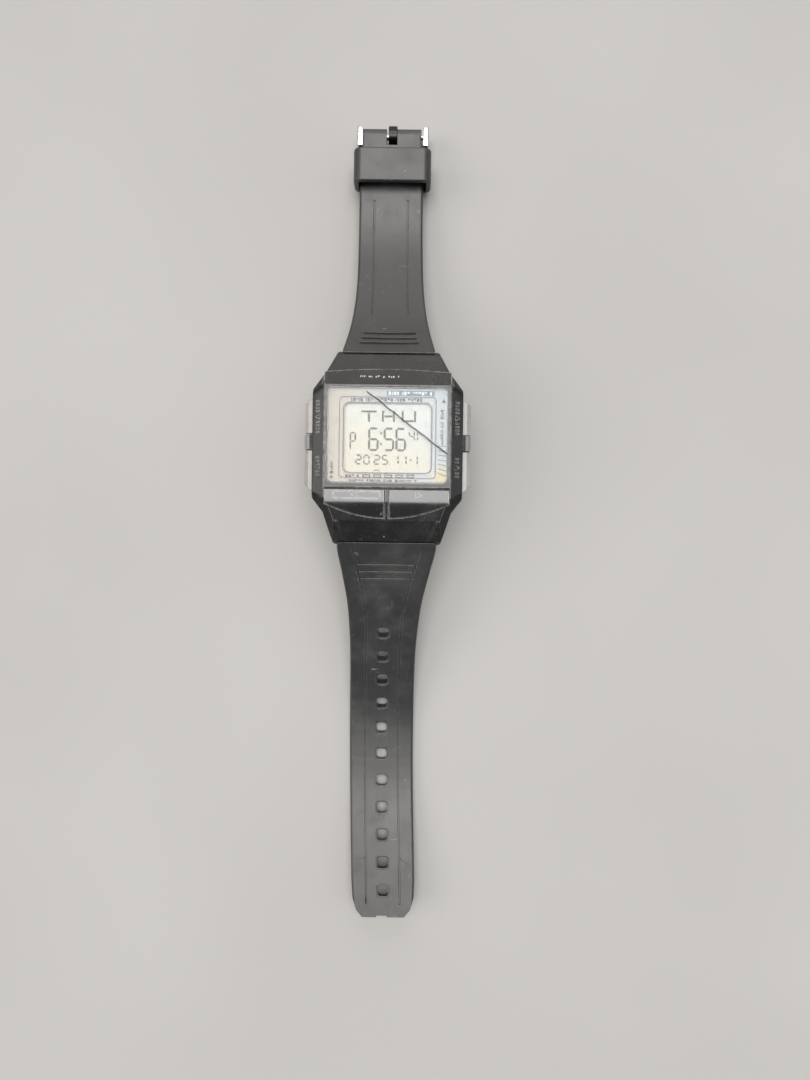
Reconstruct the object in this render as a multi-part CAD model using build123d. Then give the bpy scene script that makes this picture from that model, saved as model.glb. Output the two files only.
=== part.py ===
from build123d import *
import math
import os

os.makedirs("parts", exist_ok=True)

# Digital data-bank style resin wristwatch, straps opened out, in millimetres.
# Origin: centre of the case back's outer face. +Z out of the display, +Y to the buckle strap.

# Case
CASE_LOW, CASE_TOP = 0.5, 9.9
SIDE_X = 16.85
TOP_EDGE_R, LOW_EDGE_R = 0.4, 0.3
OUTLINE = [(16.85, 12.7), (13.95, 16.15), (11.4, 21.9), (-11.4, 21.9), (-13.95, 16.15), (-16.85, 12.7),
           (-16.85, -11.6), (-14.4, -14.74), (-12.1, -21.9), (12.1, -21.9), (14.4, -14.74), (16.85, -11.6)]
CHEEK_X, CHEEK_Z = 14.2, 8.6
CORNER_CUTS = [((16.85, 10.9, 8.6), (0.68, 0.30, 0.669)), ((16.85, -9.9, 8.6), (0.553, -0.372, 0.746))]
HOOD_Y, HOOD_Z, HOOD_SLOPE = 16.6, 8.95, 0.586
ROOF_LOW = 5.6
BLOCK_Y = 15.9
AXIS_Y, AXIS_Z = 18.3, 3.4
HOOD_R, SHOULDER_R = 4.0, 4.25
LUG_X, ROOT_X = 9.2, 9.0
PIN_R, PIN_TIP_R, BORE_R, KNUCKLE_R = 0.75, 0.4, 0.8, 1.9

# Front
POCKET_FLOOR = 8.7
FRAME_X, FRAME_LOW_Y, FRAME_TOP_Y, FRAME_ARC_R = 14.07, -9.35, 17.1, 141.8
FRAME_TOP = 10.7
GLASS_X, GLASS_LOW_Y, GLASS_HIGH_Y, GLASS_TOP, GLASS_R = 13.5, -8.3, 13.1, 10.5, 1.4
MASK_LOW, GLASS_LOW, GLASS_HOLLOW = 8.95, 9.05, 0.12
LCD_X, LCD_LOW_Y, LCD_HIGH_Y, LCD_R = 9.6, -5.8, 9.5, 1.3
OPEN_X, OPEN_LOW_Y, OPEN_HIGH_Y = 11.9, -7.7, 11.7
BAY_X, BAY_TOP_Y, BAY_ARC_R, BAY_FLOOR = 13.95, -9.4, 31.8, 7.2
BUTTON_LOW, BUTTON_TOP, BUTTON_X0, BUTTON_X1 = 7.9, 10.25, 0.62, 13.8
BUTTON_STEM = (7.0, -12.5)

# Inside
CAVITY_X, CAVITY_LOW_Y, CAVITY_HIGH_Y, CAVITY_CUT, CAVITY_TOP = 12.4, -13.8, 13.2, 4.0, 6.2
BACK_THICK, BACK_X, BACK_LOW_Y, BACK_HIGH_Y, BACK_CUT = 0.9, 14.4, -14.9, 14.6, 3.4
GASKET_HEIGHT = 0.45
SCREWS = [(12.55, 12.35), (-12.55, 12.35), (12.55, -12.75), (-12.55, -12.75)]
SCREW_R, SCREW_HEAD_R, SCREW_DEEP = 0.6, 1.1, 4.0
MODULE_X, MODULE_LOW_Y, MODULE_HIGH_Y = 11.35, -10.8, 12.8
BOARD_X, BOARD_LOW_Y, BOARD_HIGH_Y, BOARD_LOW, BOARD_TOP = 10.6, -10.0, 12.0, 4.3, 4.9
WEB_TOP = 7.3
CELL_Y, CELL_R, CELL_LOW, CELL_TOP = 1.0, 10.0, 1.9, 3.5
STRIPS_Y = (-6.6, 10.6)

# Line sunk round the field on the left button's shelf
LABEL_X, LABEL_HALF, LABEL_LINE, LABEL_LOW_Y, LABEL_HIGH_Y = -6.7, 5.2, 0.15, -11.75, -10.05

# Side pushers: name, lower end, upper end, stem
PUSHER_Z, PUSHER_LOW, PUSHER_HIGH = 5.0, 2.9, 7.1
PUSHER_OUT, PUSHER_IN = 18.75, 16.5
PUSHERS = {"upper": (2.95, 10.6, 6.5), "lower": (-9.9, -0.85, -4.5)}
GUARD_LOW, GUARD_HIGH = -0.65, 2.75
STEM_R, STEM_BORE_R, CLIP_GROOVE_R = 0.75, 0.8, 0.5

# Straps: slope in degrees at stated distances along the top face, thickness and half width likewise
START_Y, START_Z = 21.4, 6.26
LONG_SLOPE = [(0, 27), (10, 20.5), (24, 24), (38, 22), (50, 4), (70, -9), (95, -8)]
LONG_THICK = [(0, 3.7), (10, 3.1), (24, 2.6), (50, 2.2), (95, 2.2)]
LONG_WIDE = [(0, 11.3), (2.5, 11.2), (5, 10.7), (10, 9.7), (15, 8.8), (20, 8.3), (26, 7.95),
             (40, 7.85), (60, 7.8), (86, 7.7)]
LONG_END = [(90.3, 7.5), (93.2, 6.5), (94.8, 5.1)]
LONG_LENGTH = 94.8
SHORT_SLOPE = [(0, 37), (10, 31.5), (20, 22.5), (30, 10.5), (40, 0), (66, 0)]
SHORT_THICK = [(0, 3.7), (10, 3.1), (25, 2.6), (40, 2.4), (66, 2.4)]
SHORT_WIDE = [(0, 10.75), (4.5, 9.9), (8, 9.3), (14, 8.55), (20, 8.1), (28, 7.85), (40, 7.75), (57, 7.4)]
SHORT_LENGTH = 60.2
HOLE_FIRST, HOLE_PITCH, HOLE_COUNT, HOLE_SIDE, HOLE_R = 23.5, 6.52, 11, 2.6, 0.75
RIM_SIDE, RIM_DEEP = 3.2, 0.22
EDGE_R = 0.6
GROOVE_X, GROOVE_WIDE, GROOVE_DEEP = 4.08, 0.42, 0.3
LONG_RIBS = [(26.95, 7.15), (28.6, 6.8), (30.2, 6.45)]
SHORT_RIBS = [(24.7, 6.8), (26.0, 6.3), (27.4, 6.05)]
RIB_WIDE, RIB_HIGH, RIB_BOW = 0.65, 0.35, 0.12

# Buckle and keeper
BUCKLE_Y, BUCKLE_Z = 78.3, -9.45
CURL_R, CURL_X, CURL_Y, SLOT_X, SLOT_Y = 1.8, 7.2, 74.5, 1.3, 75.6
ARM_IN, ARM_OUT, EYE_TOP = 7.4, 8.7, -7.6
BUCKLE_LOW, ARM_TOP, BAR_Y0, BAR_Y1 = -13.5, -12.0, 68.6, 70.6
TONGUE_X = 1.05
KEEPER_Y0, KEEPER_Y1, KEEPER_X, KEEPER_WALL = 65.3, 73.4, 9.35, 1.2
KEEPER_LOW, KEEPER_HIGH = -11.4, -4.1


def block(x0, x1, y0, y1, z0, z1):
    """Box between opposite corners."""
    return Pos((x0 + x1) / 2, (y0 + y1) / 2, (z0 + z1) / 2) * Box(x1 - x0, y1 - y0, z1 - z0)


def prism(points, z0, z1, r=0.0):
    """Upright prism over a plan outline, its corners rounded."""
    face = make_face(Polyline(*points, close=True))
    if r:
        face = fillet(face.vertices(), r)
    return Pos(0, 0, z0) * extrude(face, z1 - z0)


def plate(x, y0, y1, r, z0, z1):
    """Rounded rectangle centred on X."""
    return Pos(0, (y0 + y1) / 2, z0) * extrude(RectangleRounded(2 * x, y1 - y0, r), z1 - z0)


def side_prism(points, x0, x1):
    """Prism along X over an outline of (Y, Z) points."""
    return Pos(x0, 0, 0) * extrude(Plane.YZ * make_face(Polyline(*points, close=True)), x1 - x0)


def end_prism(points, y0, y1):
    """Prism along Y over an outline of (X, Z) points."""
    return Pos(0, y1, 0) * extrude(Plane.XZ * make_face(Polyline(*points, close=True)), y1 - y0)


def rod_x(x0, x1, y, z, r):
    """Round bar along X."""
    return Pos((x0 + x1) / 2, y, z) * Rot(0, 90, 0) * Cylinder(r, abs(x1 - x0))


def rod_z(x, y, z0, z1, r):
    """Upright round bar."""
    return Pos(x, y, (z0 + z1) / 2) * Cylinder(r, z1 - z0)


def chamfered(x, y0, y1, cut):
    """Plan outline of a rectangle with its corners cut off."""
    return [(x, y0 + cut), (x, y1 - cut), (x - cut, y1), (cut - x, y1), (-x, y1 - cut), (-x, y0 + cut),
            (cut - x, y0), (x - cut, y0)]


def arc_plan(x, y_flat, y_mid, radius, z0, z1):
    """Prism between a straight edge at y_flat and an arc that passes y_mid on the centre line."""
    side = 1 if y_mid > y_flat else -1
    y_end = y_mid - side * (radius - math.sqrt(radius**2 - x**2))
    edges = [Line((-x, y_flat), (x, y_flat)), Line((x, y_flat), (x, y_end)),
             ThreePointArc((x, y_end), (0, y_mid), (-x, y_end)), Line((-x, y_end), (-x, y_flat))]
    return Pos(0, 0, z0) * extrude(make_face(edges), z1 - z0)


def coil(radius, wire, height, turns):
    """Helical spring standing on z = 0, its two ends flat to within the wire."""
    path = Helix(pitch=(height - 2 * wire) / turns, height=height - 2 * wire, radius=radius)
    start = Plane(origin=path @ 0, z_dir=path % 0)
    return Pos(0, 0, wire) * sweep(start * Circle(wire), path)


def at(table, s):
    """Value of a table of (distance, value) pairs at a distance, straight between its entries."""
    for (s0, v0), (s1, v1) in zip(table, table[1:]):
        if s <= s1:
            return v0 + (v1 - v0) * (s - s0) / (s1 - s0)
    return table[-1][1]


# ---------------------------------------------------------------- case

def hood_cut(sign):
    """Room for one strap's root: the slot between the lugs and the round end of the hood."""
    low, high = sorted((sign * BLOCK_Y, sign * 24))
    room = block(-LUG_X, LUG_X, low, high, -2, ROOF_LOW)
    low, high = sorted((sign * 20.3, sign * 24))
    end = block(-20, 20, low, high, -2, 12) - rod_x(-20, 20, sign * AXIS_Y, AXIS_Z, HOOD_R)
    return room + end


def case_shell():
    """Outer form: plan outline, side profile and sloping cheeks together."""
    reach = 23.0
    tip_z = HOOD_Z - (reach - HOOD_Y) * HOOD_SLOPE
    side = [(-reach, tip_z), (-HOOD_Y, HOOD_Z), (-12.4, CASE_TOP), (12.4, CASE_TOP), (HOOD_Y, HOOD_Z),
            (reach, tip_z), (reach, 3.4), (20.2, 1.0), (18.3, CASE_LOW), (-18.3, CASE_LOW), (-20.2, 1.0),
            (-reach, 3.4)]
    cheek = [(CHEEK_X, CASE_TOP), (SIDE_X, CHEEK_Z), (SIDE_X, 1.9), (15.5, CASE_LOW), (-15.5, CASE_LOW),
             (-SIDE_X, 1.9), (-SIDE_X, CHEEK_Z), (-CHEEK_X, CASE_TOP)]
    shell = prism(OUTLINE, 0, 12, 0.9) & side_prism(side, -20, 20) & end_prism(cheek, -25, 25)
    shell = fillet([e for e in shell.edges() if e.center().Z > 6 and abs(e.center().Y) < 22.5], TOP_EDGE_R)
    shell = fillet([e for e in shell.edges() if e.center().Z < 2.2 and abs(e.center().Y) < 22], LOW_EDGE_R)
    for side in (1, -1):
        for (x, y, z), (a, b, c) in CORNER_CUTS:
            face = Plane(origin=(side * x, y, z), z_dir=(side * a, b, c))
            shell -= extrude(face * Rectangle(30, 30), 6)
    return shell - hood_cut(1) - hood_cut(-1)


def guard(side):
    """Raised block between the two pushers of one side, with the low ramps beyond their ends."""
    outline = [(16.0, GUARD_LOW), (18.55, GUARD_LOW), (18.75, GUARD_LOW + 0.2),
               (18.75, GUARD_HIGH - 0.2), (18.55, GUARD_HIGH), (16.0, GUARD_HIGH)]
    middle = prism([(side * x, y) for x, y in outline], 2.0, 8.0, 0.12)
    profile = [(side * 16.0, 2.0), (side * 17.6, 2.0), (side * 18.75, 3.2), (side * 18.75, 6.6),
               (side * 17.9, 7.6), (side * 16.0, 8.0)]
    return middle & end_prism(profile, -12, 12)


def pusher_recess(side, low, high, stem_y):
    """Recess, spring pocket, seal groove and bore for one side pusher."""
    x0, x1 = sorted((side * 15.6, side * 20))
    room = block(x0, x1, low - 0.12, high + 0.12, PUSHER_LOW - 0.12, PUSHER_HIGH + 0.12)
    room += rod_x(side * 15.7, side * 14.6, stem_y, PUSHER_Z, 1.5)
    room += rod_x(side * 14.0, side * 13.4, stem_y, PUSHER_Z, 1.25)
    return room + rod_x(side * 15.7, side * 12.0, stem_y, PUSHER_Z, STEM_BORE_R)


def front_bay():
    """Room for the frame, the two front buttons with their bores, and the opening below the glass."""
    bay = arc_plan(BAY_X, BAY_TOP_Y, -16.1, BAY_ARC_R, BAY_FLOOR, 13) - block(-0.38, 0.38, -17, -9.7, 7, 10.2)
    pocket = arc_plan(FRAME_X + 0.05, BAY_TOP_Y, FRAME_TOP_Y + 0.05, FRAME_ARC_R, POCKET_FLOOR, 13)
    window = plate(OPEN_X, OPEN_LOW_Y, OPEN_HIGH_Y, 0.8, CAVITY_TOP - 0.5, 10)
    room = bay + pocket + window
    for side in (1, -1):
        x, y = side * BUTTON_STEM[0], BUTTON_STEM[1]
        room += rod_z(x, y, CAVITY_TOP - 0.5, BAY_FLOOR + 0.5, STEM_BORE_R)
        room += rod_z(x, y, 6.48, 6.92, 1.2)
    return room


def module_room():
    """Cavity for the module, the ledge for the back, its gasket groove and the four screw holes."""
    room = prism(chamfered(CAVITY_X, CAVITY_LOW_Y, CAVITY_HIGH_Y, CAVITY_CUT), 0, CAVITY_TOP, 0.6)
    room += prism(chamfered(BACK_X + 0.05, BACK_LOW_Y - 0.05, BACK_HIGH_Y + 0.05, BACK_CUT), 0, BACK_THICK, 0.6)
    room += gasket_ring(BACK_THICK - 0.01, BACK_THICK + GASKET_HEIGHT, 0.02)
    for x, y in SCREWS:
        room += rod_z(x, y, 0, SCREW_DEEP + 0.2, SCREW_R + 0.02)
    return room


def cheek_marks():
    """Small triangles and bars sunk into the sloping cheeks."""
    depth, marks = 0.16, None
    for side in (1, -1):
        band = end_prism([(side * CHEEK_X, CASE_TOP - depth), (side * SIDE_X, CHEEK_Z - depth),
                          (side * SIDE_X, 10), (side * CHEEK_X, 11)], -11, 12)
        for y, count in ((6.4, 4), (-4.6, 2)):
            x = side * 15.5
            tri = prism([(x + side * 0.6, y), (x - side * 0.45, y - 0.6), (x - side * 0.45, y + 0.6)], 7, 12)
            places = [end * (1.2 + 0.75 * i) for i in range(count) for end in (1, -1)]
            bars = [block(x - 0.4, x + 0.4, y + d - 0.15, y + d + 0.15, 7, 12) for d in places]
            for shape in (tri, *bars):
                mark = shape & band
                marks = mark if marks is None else marks + mark
    return marks


def hood_grooves():
    """Two slanting grooves that set off the middle panel of the lower hood."""
    depth, grooves = 0.22, None
    band = side_prism([(-23, HOOD_Z - (23 - HOOD_Y) * HOOD_SLOPE - depth), (-HOOD_Y, HOOD_Z - depth),
                       (-HOOD_Y, 12), (-23, 12)], -20, 20)
    for side in (1, -1):
        line = prism([(side * 11.1, -16.6), (side * 11.55, -16.6), (side * 8.55, -23), (side * 8.1, -23)], 4, 12)
        groove = line & band
        grooves = groove if grooves is None else grooves + groove
    return grooves


def case_body():
    body = case_shell() + guard(1) + guard(-1)
    body -= front_bay()
    body -= module_room()
    for side in (1, -1):
        for low, high, stem_y in PUSHERS.values():
            body -= pusher_recess(side, low, high, stem_y)
        for end in (1, -1):
            body -= rod_x(side * 9.0, side * 10.4, end * AXIS_Y, AXIS_Z, PIN_TIP_R + 0.04)
    body -= cheek_marks()
    body -= hood_grooves()
    return body


def gasket_ring(z0, z1, play=0.0):
    """Flat ring that follows the cavity's outline."""
    outer = chamfered(CAVITY_X + 1.0 + play, CAVITY_LOW_Y - 0.72 - play, CAVITY_HIGH_Y + 0.9 + play, 4.3)
    inner = chamfered(CAVITY_X + 0.45 - play, CAVITY_LOW_Y - 0.25 + play, CAVITY_HIGH_Y + 0.4 - play, 4.15)
    return prism(outer, z0, z1, 0.6) - prism(inner, z0 - 1, z1 + 1, 0.5)


def case_back():
    back = prism(chamfered(BACK_X, BACK_LOW_Y, BACK_HIGH_Y, BACK_CUT), 0, BACK_THICK, 0.6)
    back = chamfer(back.edges().group_by(Axis.Z)[0], 0.2)
    back -= rod_z(0, 0, -1, 0.12, 8.6) - rod_z(0, 0, -1, 1, 8.2)
    for x, y in SCREWS:
        back -= rod_z(x, y, -1, 2, SCREW_R + 0.1)
        back -= Pos(x, y, 0.25) * Cone(SCREW_HEAD_R + 0.05, SCREW_R + 0.1, 0.5)
    return back


def case_back_screws():
    """Four countersunk screws with crossed slots."""
    screws = []
    for x, y in SCREWS:
        screw = Pos(x, y, 0.3) * Cone(SCREW_HEAD_R - 0.02, SCREW_R, 0.48) + rod_z(x, y, 0.5, SCREW_DEEP, SCREW_R)
        screw -= block(x - 0.65, x + 0.65, y - 0.13, y + 0.13, 0, 0.36)
        screw -= block(x - 0.13, x + 0.13, y - 0.65, y + 0.65, 0, 0.36)
        screws.append(screw)
    return Compound(children=screws)


# ---------------------------------------------------------------- front

def front_frame():
    """Glossy frame round the glass; its upper band slopes down to the hood."""
    ring = arc_plan(FRAME_X, FRAME_LOW_Y, FRAME_TOP_Y, FRAME_ARC_R, POCKET_FLOOR, FRAME_TOP)
    top = side_prism([(-12, 5), (-12, FRAME_TOP), (13.5, FRAME_TOP), (17.2, 9.35), (17.2, 5)], -20, 20)
    ring &= top
    ring = chamfer([e for e in ring.edges().group_by(Axis.Z)[-1]], 0.16)
    return ring - plate(GLASS_X, GLASS_LOW_Y, GLASS_HIGH_Y, GLASS_R, 5, 12)


def crystal():
    """Glass with a bevelled top edge, hollowed slightly below so that it clears the printed mask."""
    glass = plate(GLASS_X - 0.05, GLASS_LOW_Y + 0.05, GLASS_HIGH_Y - 0.05, GLASS_R - 0.05, GLASS_LOW, GLASS_TOP)
    glass = chamfer(glass.edges().group_by(Axis.Z)[-1], 0.28)
    return glass - plate(GLASS_X - 0.35, GLASS_LOW_Y + 0.35, GLASS_HIGH_Y - 0.35, GLASS_R - 0.35, 8,
                         GLASS_LOW + GLASS_HOLLOW)


def crystal_gasket():
    return (plate(GLASS_X - 0.1, GLASS_LOW_Y + 0.1, GLASS_HIGH_Y - 0.1, GLASS_R - 0.1, POCKET_FLOOR, MASK_LOW)
            - plate(OPEN_X + 0.1, OPEN_LOW_Y - 0.1, OPEN_HIGH_Y + 0.1, 0.6, 8, 10))


def face_mask():
    return (plate(GLASS_X - 0.15, GLASS_LOW_Y + 0.15, GLASS_HIGH_Y - 0.15, GLASS_R - 0.15, MASK_LOW, GLASS_LOW)
            - plate(LCD_X, LCD_LOW_Y, LCD_HIGH_Y, LCD_R, 8, 10))


def label(half):
    """Shallow rounded field as long as stated, sunk into the top of the shelf."""
    inset = LABEL_HALF - half
    return plate(half, LABEL_LOW_Y + inset, LABEL_HIGH_Y - inset, 0.5 - inset, BUTTON_TOP - 0.09, 12)


def front_button(side):
    """One of the two wide buttons below the glass: flat shelf, then a roll down to the curved rim."""
    low, high = sorted((side * BUTTON_X0, side * BUTTON_X1))
    y_top, y_mid, y_far = BAY_TOP_Y - 0.25, -11.5, -16.3
    plan = arc_plan(BUTTON_X1, y_top, -15.95, BAY_ARC_R, BUTTON_LOW, 12) & block(low, high, -20, 0, 0, 20)
    edges = [Line((y_top, BUTTON_LOW), (y_top, BUTTON_TOP)), Line((y_top, BUTTON_TOP), (y_mid, BUTTON_TOP)),
             TangentArc((y_mid, BUTTON_TOP), (y_far, 8.6), tangent=(-1, 0)),
             Line((y_far, 8.6), (y_far, BUTTON_LOW)), Line((y_far, BUTTON_LOW), (y_top, BUTTON_LOW))]
    cap = plan & Pos(-20, 0, 0) * extrude(Plane.YZ * make_face(edges), 40)
    cap = fillet(cap.edges().filter_by(Axis.X).group_by(Axis.Z)[-1], 0.2)
    x, y = side * BUTTON_STEM[0], BUTTON_STEM[1]
    if side < 0:
        cap -= Pos(LABEL_X, 0, 0) * (label(LABEL_HALF) - label(LABEL_HALF - LABEL_LINE))
    cap -= rod_z(x, y, BUTTON_LOW - 1, 9.0, 1.5)
    cap += rod_z(x, y, 5.0, 9.1, STEM_R)
    return cap - (rod_z(x, y, 5.9, 6.15, 1.2) - rod_z(x, y, 5, 7, CLIP_GROOVE_R))


def button_mark(side):
    """Triangle sunk into the shelf of a front button."""
    x, y, d = side * 7.0, -10.9, 0.12
    return prism([(x + side * 0.9, y), (x - side * 0.6, y - 0.6), (x - side * 0.6, y + 0.6)], BUTTON_TOP - d, 12)


def button_spring(side):
    x, y = side * BUTTON_STEM[0], BUTTON_STEM[1]
    return Pos(x, y, BAY_FLOOR + 0.01) * coil(1.15, 0.12, 1.78, 4)


def clip(hole_r):
    """Retaining clip lying on z = 0, open on one side."""
    ring = rod_z(0, 0, 0, 0.23, 1.2) - rod_z(0, 0, -1, 1, hole_r)
    return ring - block(0, 2, -0.42, 0.42, -1, 1)


def button_clip(side):
    return Pos(side * BUTTON_STEM[0], BUTTON_STEM[1], 5.91) * clip(CLIP_GROOVE_R + 0.02)


def button_seal(side):
    return Pos(side * BUTTON_STEM[0], BUTTON_STEM[1], 6.7) * Torus(0.97, 0.2)


# ---------------------------------------------------------------- side pushers

def pusher(side, low, high, stem_y):
    """Wedge cap on a round stem; its far end tapers back to the case side."""
    far_low = low < 0
    a, b = low, high
    taper = 1.5 if far_low else 1.0
    near, far = (b, a) if far_low else (a, b)
    step = -taper if far_low else taper
    outline = [(PUSHER_IN, near), (PUSHER_OUT - 0.1, near), (PUSHER_OUT, near + math.copysign(0.5, step)),
               (PUSHER_OUT, far - step), (PUSHER_OUT - 1.5, far), (PUSHER_IN, far)]
    cap = prism([(side * x, y) for x, y in outline], PUSHER_LOW, PUSHER_HIGH, 0.12)
    profile = [(side * PUSHER_IN, PUSHER_LOW), (side * 18.1, PUSHER_LOW), (side * PUSHER_OUT, 3.7),
               (side * PUSHER_OUT, 6.1), (side * 17.9, PUSHER_HIGH), (side * PUSHER_IN, PUSHER_HIGH)]
    cap &= end_prism(profile, -12, 12)
    cap += rod_x(side * (PUSHER_IN + 0.1), side * 11.7, stem_y, PUSHER_Z, STEM_R)
    groove = rod_x(side * 12.1, side * 12.35, stem_y, PUSHER_Z, 1.2)
    return cap - (groove - rod_x(side * 11, side * 13, stem_y, PUSHER_Z, CLIP_GROOVE_R))


def along_x(side, x, y, shape):
    """Turns a shape standing on z = 0 to lie outward along X from x."""
    return Pos(side * x, y, PUSHER_Z) * Rot(0, side * 90, 0) * shape


def pusher_spring(side, stem_y):
    return along_x(side, 14.61, stem_y, coil(1.15, 0.13, 1.88, 4))


def pusher_clip(side, stem_y):
    return along_x(side, 12.11, stem_y, clip(CLIP_GROOVE_R + 0.02))


def pusher_seal(side, stem_y):
    return Pos(side * 13.7, stem_y, PUSHER_Z) * Rot(0, 90, 0) * Torus(0.99, 0.22)


# ---------------------------------------------------------------- module

def strip(y):
    return block(-9.8, 9.8, y - 0.6, y + 0.6, BOARD_TOP, 7.5)


def module_frame():
    """Moulded frame of the module: side walls below, a web above, a step that fills the front opening."""
    frame = prism(chamfered(MODULE_X, MODULE_LOW_Y, MODULE_HIGH_Y, 3.4), CELL_LOW, 6.1, 0.5)
    frame += plate(OPEN_X - 0.3, OPEN_LOW_Y + 0.25, OPEN_HIGH_Y - 0.25, 0.6, 6.0, WEB_TOP)
    frame -= prism(chamfered(BOARD_X + 0.1, BOARD_LOW_Y - 0.1, BOARD_HIGH_Y + 0.1, 3.2), 0, BOARD_TOP, 0.3)
    for y in STRIPS_Y:
        frame -= block(-9.9, 9.9, y - 0.7, y + 0.7, 4, 8)
    frame -= block(-3.3, 3.3, -3.3, 3.3, 4, 5.8)
    for side in (1, -1):
        x0, x1 = sorted((side * 10.65, side * 12))
        for _, _, stem_y in PUSHERS.values():
            frame -= block(x0, x1, stem_y - 1.55, stem_y + 1.55, 3.4, 6.4)
    return frame


def light_panel():
    return plate(10.9, STRIPS_Y[0] + 0.8, STRIPS_Y[1] - 0.8, 0.4, WEB_TOP, 7.45)


def lcd_panel():
    """Two bonded glass plates, the upper one shorter at both contact edges."""
    lower = plate(11.4, -7.3, 11.3, 0.15, 7.5, 8.05)
    return lower + plate(11.2, -5.95, 9.95, 0.15, 8.0, 8.6)


def circuit_board():
    board = prism(chamfered(BOARD_X, BOARD_LOW_Y, BOARD_HIGH_Y, 3.2), BOARD_LOW, BOARD_TOP, 0.3)
    for x, y in ((9.4, 9.2), (-9.4, 9.2), (9.4, -7.2), (-9.4, -7.2)):
        board -= rod_z(x, y, 4, 6, 0.45)
    return board


def chip_cover():
    """Blob of hard resin over the bare chip."""
    blob = Pos(0, 0, BOARD_TOP) * Sphere(5.2) & block(-3, 3, -3, 3, BOARD_TOP, BOARD_TOP + 0.8)
    return fillet(blob.edges().filter_by(Axis.Z), 0.8)


def cell_holder():
    """Plate below the board with the round seat of the cell, a notch for the crystal can, a spring hole."""
    holder = prism(chamfered(BOARD_X, BOARD_LOW_Y, BOARD_HIGH_Y, 3.2), CELL_LOW, BOARD_LOW - 0.1, 0.3)
    holder -= rod_z(0, CELL_Y, 0, 10, CELL_R + 0.2)
    holder -= block(4.0, 8.1, -9.6, -8.0, 0, 10)
    holder -= rod_z(-6.9, -8.6, 0, 10, 0.9)
    return holder


def quartz_can():
    return rod_x(4.35, 7.9, -8.85, 3.7, 0.55) + rod_x(4.2, 4.4, -8.85, 3.7, 0.46)


def coin_cell():
    cell = rod_z(0, CELL_Y, CELL_LOW, 3.1, CELL_R)
    cell = fillet(cell.edges().group_by(Axis.Z)[0], 0.3)
    return cell + rod_z(0, CELL_Y, 3.0, CELL_TOP, CELL_R - 1.1)


def cell_contact():
    """Springy leaf between the cell's small pole and the board."""
    leaf = side_prism([(-2.0, 3.5), (-2.0, 3.62), (2.5, 4.28), (4.5, 4.28), (4.5, 4.14), (2.6, 4.14)], -1.2, 1.2)
    return leaf


def battery_clip():
    """Steel strap over the cell that hooks round the module frame at both sides."""
    clip_plate = block(-11.65, 11.65, -0.9, 3.1, 1.5, 1.75) + rod_z(0, CELL_Y, 1.5, 1.75, 4.6)
    for side in (1, -1):
        x0, x1 = sorted((side * 11.42, side * 11.65))
        clip_plate += block(x0, x1, -0.9, 3.1, 1.5, 3.6)
    clip_plate += rod_z(0, CELL_Y, 1.7, CELL_LOW, 1.0)
    return clip_plate - rod_z(0, CELL_Y, 0, 1.7, 0.6)


def buzzer_disc():
    return rod_z(-2.6, -3.6, BACK_THICK, 1.05, 7.6) + rod_z(-2.6, -3.6, 1.0, 1.2, 5.4)


def buzzer_spring():
    return Pos(-6.9, -8.6, 1.06) * coil(0.6, 0.1, BOARD_LOW - 1.07, 6)


# ---------------------------------------------------------------- straps

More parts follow.
